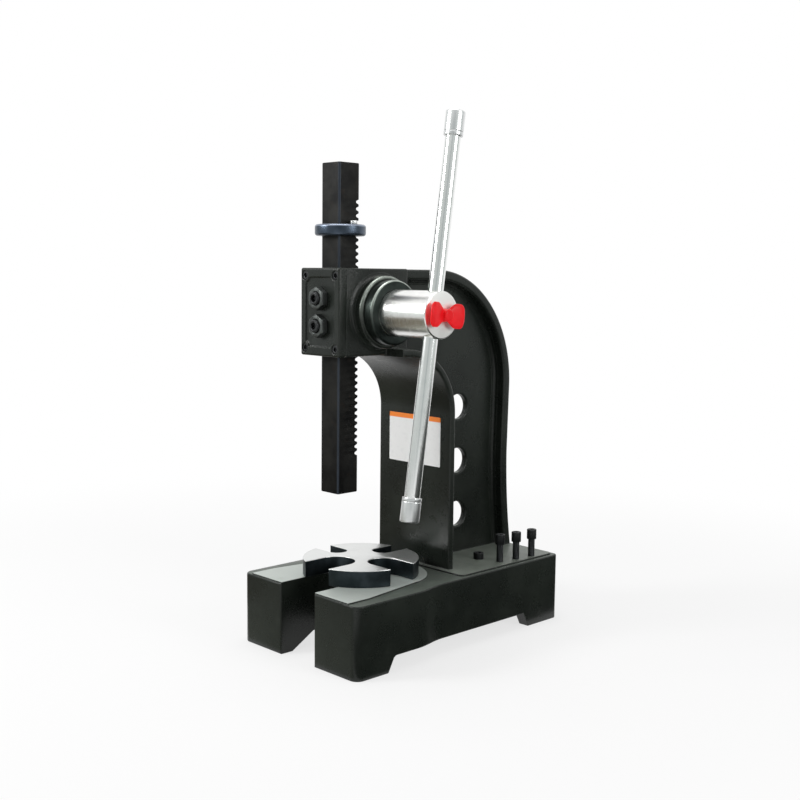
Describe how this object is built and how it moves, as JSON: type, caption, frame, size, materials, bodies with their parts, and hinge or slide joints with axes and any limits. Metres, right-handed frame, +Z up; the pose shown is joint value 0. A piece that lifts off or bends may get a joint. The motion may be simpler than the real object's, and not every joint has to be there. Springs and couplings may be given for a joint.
{
  "type": "arbor press",
  "caption": "Single-lever rack and pinion arbor press with a C-shaped column, square ram, stop collar, notched round work table and forked base.",
  "frame": {"origin": "centre of the work table's top face", "axes": "+Z up along the ram, +X to the lever side, +Y from the ram towards the column"},
  "size_m": [0.3999, 0.5755, 1.0036],
  "materials": {
    "black_paint": "semi-gloss black paint on cast iron",
    "black_oxide": "black oxide",
    "blued_steel": "turned and blued",
    "bright_steel": "zinc plated",
    "ground_steel": "ground",
    "chrome": "polished",
    "bronze": "turned bronze",
    "red_plastic": "moulded, glossy red"
  },
  "bodies": {
    "frame_body": {"base_casting": "black_paint", "column_casting": "black_paint", "front_cover": "black_paint", "gib_plate": "ground_steel", "right_bushing": "blued_steel", "left_bushing": "bronze", "table_pivot_pin": "black_oxide", "gib_screw_upper": "black_oxide", "gib_screw_lower": "black_oxide", "gib_lock_nut_upper": "black_oxide", "gib_lock_nut_lower": "black_oxide", "cover_screw_1": "black_oxide", "cover_screw_2": "black_oxide", "cover_screw_3": "black_oxide", "cover_screw_4": "black_oxide", "foot_screw_1": "black_oxide", "foot_screw_2": "black_oxide", "tall_foot_screw_1": "black_oxide", "tall_foot_screw_2": "black_oxide", "tall_foot_screw_3": "black_oxide", "tall_foot_screw_4": "black_oxide", "tall_foot_screw_5": "black_oxide", "tall_foot_screw_6": "black_oxide"},
    "ram_body": {"ram": "black_oxide"},
    "collar_body": {"stop_collar": "blued_steel"},
    "collar_screw_body": {"collar_screw": "bright_steel"},
    "shaft_body": {"pinion_shaft": "chrome", "shaft_retainer": "black_oxide", "retainer_screw": "black_oxide"},
    "lever_body": {"lever_bar": "chrome", "lever_cap_upper": "bright_steel", "lever_cap_lower": "bright_steel"},
    "knob_body": {"wing_knob": "red_plastic", "clamp_stud": "black_oxide"},
    "table_body": {"work_table": "ground_steel"}
  },
  "joints": [
    {"name": "pinion_turn", "type": "hinge", "parent": "frame_body", "child": "shaft_body", "pos_m": [0, -0.007, 0.4727], "axis": [1, 0, 0], "range_deg": [-459, 118]},
    {"name": "ram_slide", "type": "slide", "parent": "frame_body", "child": "ram_body", "axis": [0, 0, 1], "range_m": [-0.058, 0.225]},
    {"name": "lever_slide", "type": "slide", "parent": "shaft_body", "child": "lever_body", "axis": [0, 0.1418, 0.9899], "range_m": [-0.26, 0.26]},
    {"name": "knob_turn", "type": "hinge", "parent": "shaft_body", "child": "knob_body", "pos_m": [0.2137, -0.007, 0.4727], "axis": [1, 0, 0], "range_deg": [0, 360]},
    {"name": "table_turn", "type": "hinge", "parent": "frame_body", "child": "table_body", "pos_m": [0, 0, 0], "axis": [0, 0, 1], "continuous": true},
    {"name": "collar_slide", "type": "slide", "parent": "ram_body", "child": "collar_body", "axis": [0, 0, 1], "range_m": [0, 0.105]},
    {"name": "collar_screw_turn", "type": "hinge", "parent": "collar_body", "child": "collar_screw_body", "pos_m": [0.03615, -0.057, 0.6392], "axis": [0, 0, 1], "range_deg": [0, 360]}
  ],
  "couplings": [
    {"joint": "ram_slide", "follows": "pinion_turn", "m_per_rad": -0.028}
  ]
}
